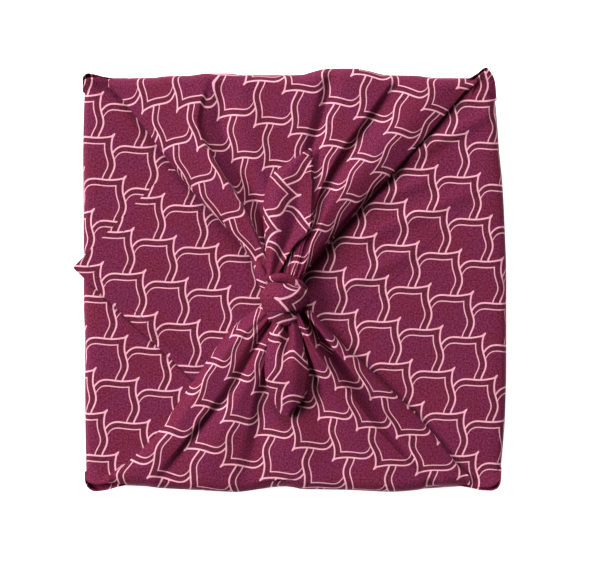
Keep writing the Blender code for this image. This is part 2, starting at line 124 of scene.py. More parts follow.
# Fold lines of a fan, left to right. Each has five points from the parcel's edge to the knot, and each
# point is x, y, rise, the rise being that of the cloth above its turned-under layer. The y of a first
# point is 0 here: fan() sets it from the outline.
FAN_FAR = {
    "edge left": ((-134, 0, 2.4), (-113, 117, 3.8), (-77, 69, 5.4), (-45, 34, 6.4), (-21, 4, 7.5)),
    "ridge 1": ((-100, 0, 4.5), (-90, 114, 7.5), (-67, 79, 9.6), (-43, 46, 11), (-18, 2, 10.5)),
    "brow 1": ((-66, 0, 4.5), (-71.5, 118, 9.5), (-58, 88, 12.5), (-38, 56, 13), (-14.5, 2, 11)),
    "fall 1": ((-61, 0, 3.4), (-68, 117.5, 4.8), (-55.2, 88, 5.8), (-36, 55.5, 5.4), (-13.8, 2, 7.5)),
    "valley 1": ((-53, 0, 2.6), (-54, 119, 0.8), (-45, 92, 0.4), (-30.5, 60, 0.4), (-12.8, 2, 5)),
    "crest 2": ((-36, 0, 5), (-37, 118, 6.5), (-31, 92, 7.5), (-21, 62, 8.5), (-11, 2, 10.5)),
    "dip 2": ((-30, 0, 4.2), (-21, 117, 5.2), (-16, 92, 6), (-13, 62, 7), (-9, 2, 9)),
    "brow 3": ((19, 0, 6.5), (11, 120, 7), (5, 95, 7), (0, 62, 8), (-7, 2, 13)),
    "valley 4": ((27, 0, 2.4), (21, 122, 2), (13, 97, 2.2), (6, 62, 5), (-4, 2, 14)),
    "crest 5": ((39, 0, 6), (31, 116, 8), (22, 88, 9), (12, 60, 11), (-1, 2, 14.5)),
    "brow 5": ((68, 0, 5.5), (50, 120, 8), (34, 98, 9), (19, 68, 11), (0, 2, 15)),
    "valley 5": ((75, 0, 2.4), (58, 120, 2), (40, 95, 2), (22, 65, 4.5), (1, 2, 14)),
    "crest 6": ((101, 0, 5.5), (79, 114, 7.5), (53, 86, 9.5), (29, 57, 12), (3, 2, 15)),
    "edge right": ((129, 0, 1.6), (108, 119, 2.6), (74, 81, 4.2), (39, 43, 6), (6, 4, 9)),
}
FAN_NEAR = {
    "edge left": ((-134, 0, 3), (-105, -116, 2.8), (-75, -74, 2.8), (-46, -34, 4), (-18, -12, 8.5)),
    "ridge 1": ((-112, 0, 4.5), (-91, -117, 7), (-66, -76, 9), (-41, -42, 11), (-16, -18, 13)),
    "brow 1": ((-105, 0, 4.5), (-79, -113, 7.5), (-53, -77, 9), (-33, -45, 10.5), (-14, -22, 12.5)),
    "valley 1": ((-98, 0, 2.6), (-71, -111, 2.8), (-44, -77, 4.6), (-27, -47, 5.6), (-12, -22, 8.5)),
    "crest 2": ((-66, 0, 5), (-51, -111, 7.5), (-36, -78, 9), (-23, -49, 10), (-10, -22, 10.5)),
    "brow 2": ((-49, 0, 4.5), (-38, -113, 6.5), (-30, -81, 8), (-20, -52, 9), (-9, -22, 10.5)),
    "valley 2": ((-37, 0, 2.6), (-28, -115, 2.2), (-23, -84, 2), (-17, -55, 2.4), (-8, -22, 7)),
    "crest 3": ((5, 0, 4.5), (1, -115, 6), (-5, -84, 5), (-8, -56, 4), (-6, -22, 9)),
    "valley 3": ((38, 0, 3.6), (26, -115, 2.4), (15.5, -86, 0.8), (12, -62, 0.6), (-3, -22, 5)),
    "crest 4": ((80, 0, 5), (50, -112, 7.5), (31, -84, 9.5), (12.5, -54, 14.5), (1, -24, 14)),
    "brow 4": ((94, 0, 4.8), (63, -111, 7.5), (42.5, -84, 9), (16, -50.5, 15), (3, -23, 14.5)),
    "valley 4": ((100, 0, 2.4), (67, -110.5, 1.4), (43.8, -83, 0.8), (18.2, -48, 0.1), (4, -22, 2)),
    "gap 4": ((105, 0, 2.6), (73, -107.5, 1.4), (50.5, -79.5, 0.6), (28.5, -45.5, 0.3), (8.5, -21, 2)),
    "crest 5": ((113, 0, 4.5), (78.5, -105, 7), (53.5, -78.5, 9), (26, -45.6, 9.5), (6.5, -21, 9.5)),
    "edge right": ((127, 0, 3), (101, -110, 2.8), (67.5, -75.5, 4), (34.5, -44.5, 5), (12.5, -21, 6.5)),
}
FOLD_STATIONS = (0.0, 0.25, 0.5, 0.75, 1.0)
FAN_ROWS = 120
FAN_SPAN = 8  # steps from one fold line of a fan to the next
ROLL_POINTS = 6  # points of a turned-under side edge, before the edge's own fold line
ROLL_DONE = 0.17  # place along a fan by which its side edges are turned right under
ROLL_LENGTHS = ((0.0, 0.05, 0.1, 0.17, 0.28, 0.7, 0.85, 1.0),  # places along the fan
                (4.0, 3.4, 6.0, 12.0, 26.0, 24.0, 10.0, 4.5))  # cloth in the turned-under edge
ROLL_TIGHTEST = 0.2  # least radius of a turned edge
ROLL_ROOM = 0.6  # of the way to the cloth beside it that a turned edge's radius may take
CREST_ROUND, CREST_SOFT = 0.55, 0.45  # how much of a crest falls like an arch, and how much evenly
PUCKER, PUCKER_PITCH = 0.45, 0.95  # height of the small gathers near the knot, and their turn a column
PUCKER_FROM, PUCKER_RUN = 0.5, 0.4  # place along a fan where they start, and over which they grow
RELIEF_RUN = 0.2  # place along a fan by which its slight unevenness is full

TAIL_UP = {
    "edge left": ((-20, 2, 14.5), (-21.5, 28, 15.5), (-22.6, 52, 15), (-19.5, 74, 13), (7, 95.5, 10.5)),
    "ridge": ((-18, 2, 17), (-15, 26, 20), (-13, 49, 19.5), (-9, 74, 16.5), (9, 97, 11.5)),
    "hollow": ((-16, 2, 16), (-7, 25, 15), (1, 44, 13), (4, 74, 13.5), (11, 98, 11)),
    "edge right": ((-13, 2, 15), (-1, 24, 16.5), (14, 44, 17), (14.5, 76, 13.5), (13, 98.5, 10.5)),
}
TAIL_DOWN = {
    "edge left": ((-13, -18, 8), (-19, -42, 14), (-21.6, -64, 15), (-18.5, -82, 12.5), (-9.5, -97.5, 10.5)),
    "lobe": ((-10, -18, 10), (-11, -40, 18.5), (-12, -62, 18.5), (-11, -82, 14.5), (-7, -98, 11.5)),
    "crease": ((-7, -18, 8), (-4.5, -42, 11.5), (-7, -62, 18.5), (-7, -82, 15.5), (-5.5, -98.5, 12)),
    "ridge": ((-4, -18, 10), (0, -40, 18.5), (0, -62, 20), (-2, -82, 16), (-4.5, -98.5, 12)),
    "edge right": ((0, -18, 9), (6.5, -44, 14.5), (11, -66, 15), (9.5, -81, 12.5), (-2, -97, 10.5)),
}
TAIL_ROWS = 60
TAIL_SPAN = 9  # steps from one fold line of a tail to the next
FOLD_RISE = 2.6  # from a turned-under layer to the layer above it
TAIL_TUCK = 5.0  # flat cloth in a tail's turned-under edge

# The rims of the corner ears: x, y, how far the rim stands above the fans' foot, and the width of the
# gap between the rim and the cloth inside it.
LIPS = {
    "far left": ((-156, 140, -5, 0), (-156, 149, -1, 0.5), (-155, 152, 0.5, 2), (-151.5, 153.8, 1.5, 3.2),
        (-146, 152.8, 1.5, 2), (-141, 151.5, 0, 0.6), (-130, 150, -4, 0)),
    "far right": ((122, 149.5, -4, 0), (128, 150, -1, 1.5), (134, 153, 2, 2.6), (141, 158, 4, 2.2),
        (144.5, 155, 3.5, 0.4), (148, 148, 1.5, 0), (149.6, 134, -4, 0)),
    "near left": ((-154.6, -140, -5, 0), (-154.2, -147, -1.5, 0.5), (-152, -151.5, 0, 3),
        (-146.5, -154.4, 0.5, 5.2), (-138, -153.4, 0.5, 4.4), (-131, -151.4, 0, 1.5), (-124, -150, -4, 0)),
    "near right": ((122, -150.5, -4, 0), (131, -152, -1, 0.6), (138, -153.5, 0.5, 0.8),
        (145, -153.8, 1, 1.4), (150, -152, 1, 1.6), (152.4, -147, 0, 0), (153.2, -137, -5, 0)),
}
EAR_REACH = 15.0  # of an ear's cloth over the flap inside it
EAR_CENTRE = 138.0  # in x and in y, of the point that a corner's cloth turns about
EAR_AIM = 130.0  # in x and in y, of the point towards which an ear's inner face leans
EAR_POINTS = 64  # along a rim
EAR_ROWS, EAR_INNER_ROWS = 12, 9  # up the outside to the rim, and from the fold inwards
EAR_LEAN = 0.8  # power by which an ear's outside nears its rim: below 1, it does so sooner
EAR_CLEAR = 0.3  # from the flap up to the ear's end
LIP_FOOT = 6.0  # height at which an ear leaves its wall
LIP_DROP = 0.4  # from the rim down to the top of the fold inside it
LIP_DEEPEST = 6.0  # depth of the fold inside the widest gap
LIP_STEEP = 2.2  # depth of that fold for each millimetre of its gap, up to LIP_DEEPEST
LIP_ROUND = ((0.4, 0.15), (0.8, 0.7))  # inward and down from the rim, where its edge turns over
LIP_WIDE = 0.9  # from the rim to the fold's outer side
LIP_FLOOR = (0.15, 0.5, 0.85)  # shares of the gap at which the fold's floor has rows

FLAP_RIGHT_TIP = (-162.8, 10.5)
FLAP_RIGHT_SLOPES = (1.02, 0.93)  # of its far and near free edges, in y for each x
FLAP_LEFT_TIP = (148.0, 0.0)
FLAP_LEFT_SLOPES = (1.0, 1.0)
TIP_BLUNT = 0.6  # by which a flap's tip is blunt
TIP_DROOP = 1.2  # of the right flap's loose tip
RIGHT_COLUMNS, RIGHT_ROWS, TIP_ROWS = 140, 140, 14
RIGHT_INSET, RIGHT_LAST = 8, -140  # how far inside its wall its rows start, and the x of the last
TIP_SPAN = (-142, -162.6)  # x of the first and the last of its tip's rows
TIP_FROM, TIP_SOFT = -150, 12  # x where its tip begins to droop, and how far on the droop is full
LEFT_COLUMNS, LEFT_ROWS = 90, 90
LEFT_SPAN = (-145, 146)  # x of the first and the last of the left flap's rows
WRINKLES = (  # start x, y, end x, y, half width, rise
    (36, 52, 92, 72, 8, 1.7),
    (84, 92, 140, 122, 8.5, 2.2),
    (40, -2, 82, 20, 9, 1.5),
    (56, 34, 120, 62, 9, 1.5),
    (-106, -30, -70, -58, 9, 3.4),
)

# The knot: bundles of cloth. Each row is x, y, z, half width across the bundle, half height.
KNOT_BUNDLES = {
    "heart": ((-21, -11, 37, 6, 5), (-17, -11, 38, 14, 8.5), (-8, -12, 39, 16, 9.5), (1, -12, 38, 13, 8.5),
        (6, -11, 37, 6, 5)),
    "band": ((-19, -11, 31, 8, 4), (-20.5, -11, 38, 10, 4.5), (-16, -11.5, 44.5, 11, 5.5),
        (-7.5, -12.5, 47.3, 10.5, 5.6), (0.5, -12, 45, 9.5, 5.5), (6, -11, 39, 8, 4.5), (6, -11, 31, 7, 4)),
    "roll": ((-21, -3, 36, 3, 3), (-19.5, 2, 42, 3.2, 3), (-9, 3.2, 45.5, 3.2, 3), (0, 0.5, 44, 3.4, 3),
        (6.5, -5, 39, 3.6, 3), (8, -9, 33, 3, 3)),
    "chin": ((-19, -20, 37, 3, 3), (-15, -23.5, 42, 5.5, 4.2), (-8, -25.5, 43, 6.5, 4.5),
        (-2, -26.5, 41.5, 5.5, 4), (3, -25, 37, 3, 3)),
    "gathers": ((-30, 21, 31.5, 3, 2.2), (-27, 14, 35, 3.8, 3.2), (-24.5, 6, 39, 4.4, 3.8),
        (-21.5, -2, 41, 4, 3.5), (-19, -8, 39, 3, 3)),
}
BUNDLE_STEPS, BUNDLE_SIDES, BUNDLE_PLEATS = 48, 56, 5
PLEAT_SWELL, PLEAT_RIPPLE = 0.045, 0.02  # share by which a pleat, and a fine ripple, widens a bundle
PLEAT_TWIST = 2.5  # radians by which the pleats turn from one end of a bundle to the other
PRINT_KNOT = {  # where a tip of the print lies along a bundle, and the print's turn in degrees
    "heart": (0.0, 20), "band": (20.9, 114), "roll": (30.0, 80), "chin": (23.0, -58), "gathers": (12.0, 40)}

# The print: how it repeats in x and y, and where it lies on each stretch.
REPEAT_ACROSS = (31.3, -6.1)
REPEAT_UP = (-8.75, 30.6)
PRINT_RIGHT = ((-77.8, 1.0, 0.0), (27.5, -0.011, 0.983))  # start, with x and with y, of p and of q
PRINT_LEFT = ((111.6, 0.982, -0.02), (74.7, 0.034, 0.991))
PRINT_BASE = (272.0, 27.5)
PRINT_FANS = {  # how the gathering leads the print towards the knot
    "far": {"start": (54.9, -25.9), "across": 1.080, "gather": 7.0e-5, "drift": -0.054, "curl": -0.0015,
            "tilt": -0.071, "along": 0.969, "skew": 0.0, "bow": -0.00127},
    "near": {"start": (-34.4, 36.3), "across": 1.013, "gather": 7.0e-5, "drift": 0.122, "curl": -0.00154,
             "tilt": -0.055, "along": -1.014, "skew": -0.00124, "bow": 0.00075},
}
PRINT_STRAND = {  # the same for the far fan's left strand, up to its fold lines 2 and 3
    "start": (40.2, -0.4), "across": 1.209, "gather": 0.0, "drift": 0.037, "curl": 0.00345,
    "tilt": 0.282, "along": 0.914, "skew": 0.0, "bow": 0.0}
PRINT_TAILS = {  # where one tip of the print lies on a tail, and the print's turn in degrees
    "up": ((4.3, 64.3), -45), "down": ((-4.5, -73.9), -17)}
PRINT_DEPTH = 153.0  # from the parcel's middle to where a fan's print is measured from
STRAND_FOLD = 3.0  # fold line at which the far fan's left strand ends
STRAND_DEPTHS = (20, 60)
STRAND_FADES = (2.4, 1.0)  # at those depths, in how many folds its print passes into the fan's
PRINT_MEETS = 90.0  # of cloth under the parcel in which a wall's print meets the middle's
NO_CORNER = (300.0, 300.0)  # stands for a stretch that is far from the cloth's hems

# The lights: where they stand round the parcel and above it, and how far off and how wide they are.
WEST_AZIMUTH, NORTH_AZIMUTH = math.radians(168), math.radians(92)
LIGHT_ELEVATION = math.radians(38)
LIGHT_DISTANCE, LIGHT_SIZE = 5.76, 2.6  # metres
WHITE = (1.0, 1.0, 1.0, 1.0)
CAMERA_PLACE = (0.0067, -0.0055)  # metres, over the parcel


def curve_through(knots, values, at):
    """A smooth curve through the values, with no overshoot, read at the places in at."""
    knots, values, at = (np.asarray(item, float) for item in (knots, values, at))
    columns = values.reshape(len(knots), -1)
    step = np.diff(knots)[:, None]
    slope = np.diff(columns, axis=0) / step
    before, after = slope[:-1], slope[1:]
    agree = before * after > 0
    total = np.where(agree, before + after, 1.0)
    middle = np.where(agree, 2 * before * after / total, 0.0)
    tangent = np.vstack([slope[:1], middle, slope[-1:]])
    i = np.clip(np.searchsorted(knots, at, side="right") - 1, 0, len(step) - 1)
    u = ((at - knots[i]) / step[i, 0])[..., None]
    result = ((1 + 2 * u) * (1 - u) ** 2 * columns[i] + u * (1 - u) ** 2 * step[i] * tangent[i]
              + u * u * (3 - 2 * u) * columns[i + 1] + u * u * (u - 1) * step[i] * tangent[i + 1])
    return result.reshape(at.shape + values.shape[1:])


def ease(u):
    """A rise from 0 to 1 that is level at both ends."""
    return (1 - np.cos(math.pi * np.clip(u, 0, 1))) / 2


def outline(side, along):
    """How far out the cloth lies on one side of the parcel."""
    places, out = OUTLINE[side]
    return curve_through(places, out, np.clip(along, places[0], places[-1]))


def relief(x, y):
    """The slight unevenness of cloth lying on a parcel."""
    return (0.35 * np.sin(x / 31 + y / 47 + 1.0) + 0.25 * np.sin(x / 17 - y / 23 + 2.0)
            + 0.12 * np.sin(x / 9 + y / 13) * np.sin(y / 11 - x / 29))


def ridges(x, y, table):
    """Height that soft ridges, each along a line, add to a sheet."""
    rise = np.zeros(np.broadcast(x, y).shape)
    for x0, y0, x1, y1, half_width, height in table:
        length = math.hypot(x1 - x0, y1 - y0)
        along = ((x - x0) * (x1 - x0) + (y - y0) * (y1 - y0)) / length ** 2
        aside = ((x - x0) * (y1 - y0) - (y - y0) * (x1 - x0)) / length
        beyond = (np.maximum(-along, 0) + np.maximum(along - 1, 0)) * length
        rise = rise + height * ease(1 - np.hypot(beyond * 0.5, aside) / half_width)
    return rise


def lay(name, points, prints, corner=None, flip=False):
    """A stretch of cloth on a grid of points, with its places in the print and from two hems."""
    rows, columns, _ = points.shape
    first = (np.arange(rows - 1)[:, None] * columns + np.arange(columns - 1)).ravel()
    faces = np.column_stack([first, first + 1, first + columns + 1, first + columns])
    if flip:
        faces = faces[:, ::-1]
    mesh = bpy.data.meshes.new(name)
    placed = (points.reshape(-1, 3) + (*TABLE_ORIGIN, 0)) * MM
    mesh.from_pydata(placed.tolist(), [], faces.tolist())
    if corner is None:
        corner = np.broadcast_to(NO_CORNER, points.shape[:2] + (2,))
    for layer, values in (("print", prints), ("corner", corner)):
        uv = mesh.uv_layers.new(name=layer)
        uv.data.foreach_set("uv", (values.reshape(-1, 2)[faces.ravel()] * MM).ravel())
    mesh.polygons.foreach_set("use_smooth", [True] * len(faces))
    mesh.update()
    piece = bpy.data.objects.new(name, mesh)
    piece["furoshiki_stretch"] = True
    bpy.context.scene.collection.objects.link(piece)


def corner_reach(side, end):
    """How far along a side its corner lies: the outline of the side that it meets there."""
    meets = (("left", "right") if side in ("far", "near") else ("near", "far"))[end > 0]
    at = CORNER_AT if side in ("far", "right") else -CORNER_AT
    return float(outline(meets, np.array([at]))[0])


def wall_point(side, along, lift, inset):
    """A point of the wall: along runs to the corners, and lift is 0 at the foot and 1 at the top."""
    low, high = corner_reach(side, -1), corner_reach(side, 1)
    reach = np.where(along > 0, high, low)
    straight = reach - CORNER
    over = np.clip((np.abs(along) - straight) / CORNER, 0, math.sin(math.pi / 4))
    turn = np.arcsin(over)
    place = np.sign(along) * (np.minimum(np.abs(along), straight) + CORNER * np.sin(turn))
    straight_foot = np.interp(along, FOOT_POSTS, outline(side, np.array(FOOT_POSTS))) - FOOT_BACK
    out = (straight_foot + (outline(side, along) - straight_foot) * ease(lift)
           - CORNER * (1 - np.cos(turn)))
    return place - np.sign(along) * inset * np.sin(turn), out - inset * np.cos(turn)


def wall(side, along, top, rise):
    """Rows of a sheet from the parcel's middle, under it, up its wall and over its upper edge.

    Each row gives the place along the side, the distance out and the height, for every column.
    """
    turn = SHOULDER + rise / 2
    level = top + rise - turn
    low, high = corner_reach(side, -1), corner_reach(side, 1)
    spread = CORNER * (1 - math.sin(math.pi / 4))
    first, last = along[0], along[-1]
    wide = np.where(along < 0, along * (low - spread) / -first, along * (high - spread) / last)
    rows = []
    for share in UNDER_SHARES:
        place, out = wall_point(side, wide, 0.0, FOOT)
        rows.append((place * share, out * share, BASE_HEIGHT + 0 * out))
    for angle in np.radians(FOOT_TURNS):
        place, out = wall_point(side, wide, 0.0, FOOT * (1 - math.sin(angle)))
        rows.append((place, out, BASE_HEIGHT + FOOT * (1 - math.cos(angle)) + 0 * out))
    for lift in np.linspace(0, 1, WALL_STEPS + 1)[1:]:
        shift = ease((lift - 0.5) / 0.5)  # in the upper half, from the foot's columns to the fold's
        mixed = wide + (along - wide) * shift
        place, out = wall_point(side, mixed, lift, BELLY * (2 * lift - 1) ** 2)
        z = BASE_HEIGHT + FOOT + (level - BASE_HEIGHT - FOOT) * lift
        rows.append((place + (mixed - place) * shift, out, z))
    out = outline(side, along) - BELLY
    for angle in np.radians(SHOULDER_TURNS):
        rows.append((along, out - turn * (1 - math.cos(angle)), level + turn * math.sin(angle)))
    return rows


def on_side(side, rows):
    """Rows of a wall as points."""
    along_way, out_way, _, _ = SIDES[side]
    return np.array([np.outer(along, (*along_way, 0)) + np.outer(out, (*out_way, 0))
                     + np.outer(z, (0, 0, 1)) for along, out, z in rows])


def print_down_wall(side, points, prints, first):
    """Carry the print from row first, over the parcel's edge and down the wall.

    Under the parcel it passes into the print of the cloth's middle.
    """
    way = np.array(SIDES[side][2], float)
    steps = np.linalg.norm(np.diff(points[:first + 1], axis=0), axis=2)
    arc = np.cumsum(steps[::-1], axis=0)[::-1]
    carried = prints[first] + arc[..., None] * way
    base = np.stack([PRINT_BASE[0] - points[:first, :, 0], PRINT_BASE[1] + points[:first, :, 1]], axis=2)
    foot = len(UNDER_SHARES)
    repeat = np.array([REPEAT_ACROSS, REPEAT_UP])
    off = (base[foot] - carried[foot])[len(base[foot]) // 4:-len(base[foot]) // 4].mean(axis=0)
    base = base - np.round(off @ np.linalg.inv(repeat)) @ repeat
    share = ease((arc - arc[foot]) / PRINT_MEETS)[..., None]
    prints[:first] = carried + (base - carried) * share
    return prints


def with_wall(side, skirt, over, prints):
    """A stretch over the parcel joined to the rows of its wall, and the print of both."""
    points = np.concatenate([skirt, over])
    prints = np.concatenate([np.zeros(skirt.shape[:2] + (2,)), prints])
    return points, print_down_wall(side, points, prints, len(skirt))


def rolled_edge(edge, following, rise, turn, length, foot):
    """The side edge of a sheet, rolled under by the angle turn: its points from the free end inward.

    The roll's radius is half the rise, so an edge that is turned right under lies at foot, and
    less where the following column is too near for that. Each point carries its length of cloth.
    """
    inward = following - edge
    step = np.linalg.norm(inward)
    inward = inward / max(step, 1e-6)
    radius = max(min(rise / 2, ROLL_ROOM * step), ROLL_TIGHTEST)
    half = min(math.pi * radius, length)
    points = []
    for arc in (length, (length + half) / 2, half, 0.75 * half, 0.5 * half, 0.25 * half, 0.0):
        angle = min(arc / radius, turn)
        straight = arc - angle * radius
        out = radius * math.sin(angle) + straight * math.cos(angle)
        down = radius * (1 - math.cos(angle)) + straight * math.sin(angle)
        if turn == 0:
            out, down = arc, 0.0
        points.append((*(edge + inward * (radius - out)), foot + rise - down, -arc))
    return points


def tucked(points, rise, turn, length, foot):
    """One row of a sheet whose side edges are turned under; rise is the height of each point above foot.

    The last number of each point is its length of cloth beyond the nearer edge, or 0.
    """
    left, right = (rolled_edge(points[edge], points[inner], rise[edge], turn, length, foot)
                   for edge, inner in ((0, 3), (-1, -4)))
    middle = np.column_stack([points[1:-1], foot + rise[1:-1], 0 * rise[1:-1]])
    return np.vstack([left, middle, right[::-1]])


def across(lines, steps):
    """Columns between fold lines: broad round crests and narrow valleys."""
    lines = np.asarray(lines, float)
    result = []
    for a, b in zip(lines[:-1], lines[1:]):
        for u in np.linspace(0, 1, steps + 1)[:-1]:
            point = a + (b - a) * u
            fall = u if a[2] > b[2] else 1 - u
            arch = 1 - math.cos(math.pi / 2 * fall)
            soft = float(ease(fall))
            top, bottom = max(a[2], b[2]), min(a[2], b[2])
            point[2] = top + (bottom - top) * (CREST_ROUND * arch + CREST_SOFT * soft)
            result.append(point)
    result.append(lines[-1])
    return np.array(result)


def station(lines, q):
    """Where fold lines run at the place q between their two ends."""
    return np.array([curve_through(FOLD_STATIONS, points, np.array([q]))[0] for points in lines])


def beyond_edges(grid):
    """Length of cloth beyond the left edge (below 0) or the right edge (above 0) of every point."""
    beyond = grid[..., 3].copy()
    columns = grid.shape[1]
    beyond[:, columns // 2:] *= -1
    return beyond


def fan_print(chart, x, depth):
    """The print on a fan, drawn together by the gathering, at x and at a depth from the edge."""
    p = (chart["start"][0] - x * (chart["across"] + chart["gather"] * depth ** 2)
         + depth * (chart["drift"] + chart["curl"] * depth))
    q = (chart["start"][1] + x * (chart["tilt"] + chart["bow"] * x)
         + depth * (chart["along"] + chart["skew"] * x))
    return np.stack([p, q], axis=2)


def fan(name, side, table, pleats):
    """A gathered end of the cloth, from under the parcel to inside the knot."""
    sign = 1 if side == "far" else -1
    lines = np.array(list(table.values()), float) * (1, 1, pleats)
    start = lines[:, 0]
    start[:, 1] = sign * (outline(side, start[:, 0]) - BELLY - SHOULDER - start[:, 2] / 2)
    rows = []
    for q in np.linspace(0, 1, FAN_ROWS):
        columns = across(station(lines, q), FAN_SPAN)
        inner = np.arange(len(columns))
        columns[1:-1, 2] += (PUCKER * np.sin(inner * PUCKER_PITCH) * ease((q - PUCKER_FROM) / PUCKER_RUN)
                             + relief(columns[:, 0], columns[:, 1]) * ease(q / RELIEF_RUN))[1:-1]
        turn = math.pi * np.interp(q, (0.0, ROLL_DONE), (0.0, 1.0))
        length = np.interp(q, *ROLL_LENGTHS)
        rows.append(tucked(columns[:, :2], columns[:, 2], turn, length, Z_FAN))
    grid = np.array(rows)
    beyond = beyond_edges(grid)
    over = grid[..., :3]
    skirt = on_side(side, wall(side, over[0, :, 0], Z_FAN, over[0, :, 2] - Z_FAN))
    left_edge, right_edge = grid[:, ROLL_POINTS:ROLL_POINTS + 1], grid[:, -ROLL_POINTS - 1:-ROLL_POINTS]
    past = beyond[..., None]
    edge = np.where(past < 0, left_edge, np.where(past > 0, right_edge, grid))
    x, depth = edge[..., 0] + beyond, PRINT_DEPTH - sign * edge[..., 1]
    prints = fan_print(PRINT_FANS[side], x, depth)
    if side == "far":
        fold = ((np.arange(grid.shape[1]) - ROLL_POINTS) / FAN_SPAN)[None, :]
        width = np.interp(depth, STRAND_DEPTHS, STRAND_FADES)
        share = ease((STRAND_FOLD + 0.7 * (width - 1) - fold) / width)[..., None]
        prints = prints + (fan_print(PRINT_STRAND, x, depth) - prints) * share
    points, prints = with_wall(side, skirt, over, prints)
    lay(name, points, prints, flip=SIDES[side][3])


def chart_print(chart, x, y):
    """The print where it lies straight on the cloth."""
    return np.stack([start + with_x * x + with_y * y for start, with_x, with_y in chart], axis=2)


def side_flap(name, side, tip, slopes, top, chart, rows_x, columns, shape, hem_width):
    """A side flap: across the parcel, then narrowing to the corner of the cloth, its hems turned."""
    spread = np.linspace(-1, 1, columns)
    edge_y = spread * FLAP_HALF_WIDTH
    rows = []
    for x in rows_x:
        reach = abs(x - tip[0]) + TIP_BLUNT
        high = min(FLAP_HALF_WIDTH, tip[1] + slopes[0] * reach)
        low = max(-FLAP_HALF_WIDTH, tip[1] - slopes[1] * reach)
        y = (high + low) / 2 + spread * (high - low) / 2
        x = np.full(columns, x)
        hem = min(hem_width - HEM_CLEAR, HEM_SHARE * (high - low))
        rows.append(tucked_hem(np.column_stack([x, y]), shape(x, y), hem))
    over = np.array(rows)
    pad = (over.shape[1] - columns) // 2
    skirt = on_side(side, wall(side, edge_y, top, 0 * edge_y))
    skirt = np.concatenate([np.repeat(skirt[:, :1], pad, axis=1), skirt,
                            np.repeat(skirt[:, -1:], pad, axis=1)], axis=1)
    x, y = over[..., 0], over[..., 3]
    points, prints = with_wall(side, skirt, over[..., :3], chart_print(chart, x, y))
    reach = np.abs(x - tip[0])
    far_hem = (tip[1] + slopes[0] * reach - y) / math.hypot(1, slopes[0])
    near_hem = (y - tip[1] + slopes[1] * reach) / math.hypot(1, slopes[1])
    corner = np.concatenate([np.broadcast_to(NO_CORNER, skirt.shape[:2] + (2,)),
                             np.stack([far_hem, near_hem], axis=2)])
    lay(name, points, prints, corner, flip=SIDES[side][3])


def tucked_hem(flat, z, hem):
    """A row of a flap with its hems turned under: x, y, z and the y of the cloth unfolded."""
    sides = []
    for edge, inner in ((0, 1), (-1, -2)):
        way = flat[inner] - flat[edge]
        way = way / np.linalg.norm(way)
        r = HEM_FOLD / 2
        turned = []
        for arc in (hem, 1.5 * r, math.pi * r * 0.66, math.pi * r * 0.33):
            angle = min(arc / r, math.pi)
            straight = max(arc - math.pi * r, 0)
            spot = flat[edge] + way * (r - r * math.sin(angle) + straight)
            turned.append((*spot, z[edge] - r * (1 - math.cos(angle)), (flat[edge] - way * arc)[1]))
        sides.append(turned)
    return np.vstack([sides[0], np.column_stack([flat, z, flat[:, 1]]), sides[1][::-1]])


def tail(name, table, which, flip):
    """A corner of the cloth leaving the knot, its edges turned under along both sides."""
    lines = np.array(list(table.values()), float)
    rows = []
    for q in np.linspace(0, 1, TAIL_ROWS):
        columns = across(station(lines, q), TAIL_SPAN)
        width = np.linalg.norm(columns[-1, :2] - columns[0, :2])
        layer = columns[[0, -1], 2].min() - FOLD_RISE
        length = min(math.pi * FOLD_RISE / 2 + TAIL_TUCK, width / 2)
        rows.append(tucked(columns[:, :2], columns[:, 2] - layer, math.pi, length, Z_FAN + layer))
    grid = np.array(rows)
    lengths = np.linalg.norm(np.diff(grid[..., :3], axis=1), axis=2)
    arc = np.concatenate([np.zeros((len(grid), 1)), np.cumsum(lengths, axis=1)], axis=1)
    middle = arc.shape[1] // 2
    (tip_x, tip_y), turn = PRINT_TAILS[which]
    turn = math.radians(turn)
    across_x = arc - arc[:, middle:middle + 1] + grid[:, middle:middle + 1, 0] - tip_x
    along_y = grid[:, middle:middle + 1, 1] - tip_y + 0 * arc
    prints = np.stack([across_x * math.cos(turn) + along_y * math.sin(turn),
                       along_y * math.cos(turn) - across_x * math.sin(turn)], axis=2)
    lay(name, grid[..., :3], prints, flip=flip)


def bundle(name, table, chart):
    """A bundle of cloth along a route, oval and pleated across."""
    steps, sides, pleats = BUNDLE_STEPS, BUNDLE_SIDES, BUNDLE_PLEATS
    table = np.array(table, float)
    route = curve_through(np.linspace(0, 1, len(table)), table, np.linspace(0, 1, steps))
    forward = np.gradient(route[:, :3], axis=0)
    angles = np.linspace(0, 2 * math.pi, sides + 1)
    run = np.concatenate([[0], np.cumsum(np.linalg.norm(np.diff(route[:, :3], axis=0), axis=1))])
    tip, turn = chart[0], math.radians(chart[1])
    points, prints = np.zeros((steps, sides + 1, 3)), np.zeros((steps, sides + 1, 2))
    for i, (place, ahead) in enumerate(zip(route, forward)):
        ahead = ahead / np.linalg.norm(ahead)
        wide = np.array((0.0, 1.0, 0.0)) - ahead * ahead[1]
        wide = wide / np.linalg.norm(wide)
        tall = np.cross(ahead, wide)
        swell = (1 + PLEAT_SWELL * np.sin(pleats * angles + PLEAT_TWIST * i / steps)
                 + PLEAT_RIPPLE * np.sin(2 * pleats * angles + 1.0))
        points[i] = (place[:3] + np.outer(place[3] * np.cos(angles) * swell, wide)
                     + np.outer(place[4] * np.sin(angles) * swell, tall))
        aside = (math.pi / 2 - angles) * (place[3] + place[4]) / 2
        prints[i, :, 0] = (run[i] - tip) * math.cos(turn) + aside * math.sin(turn)
        prints[i, :, 1] = aside * math.cos(turn) - (run[i] - tip) * math.sin(turn)
    lay(name, points, prints)


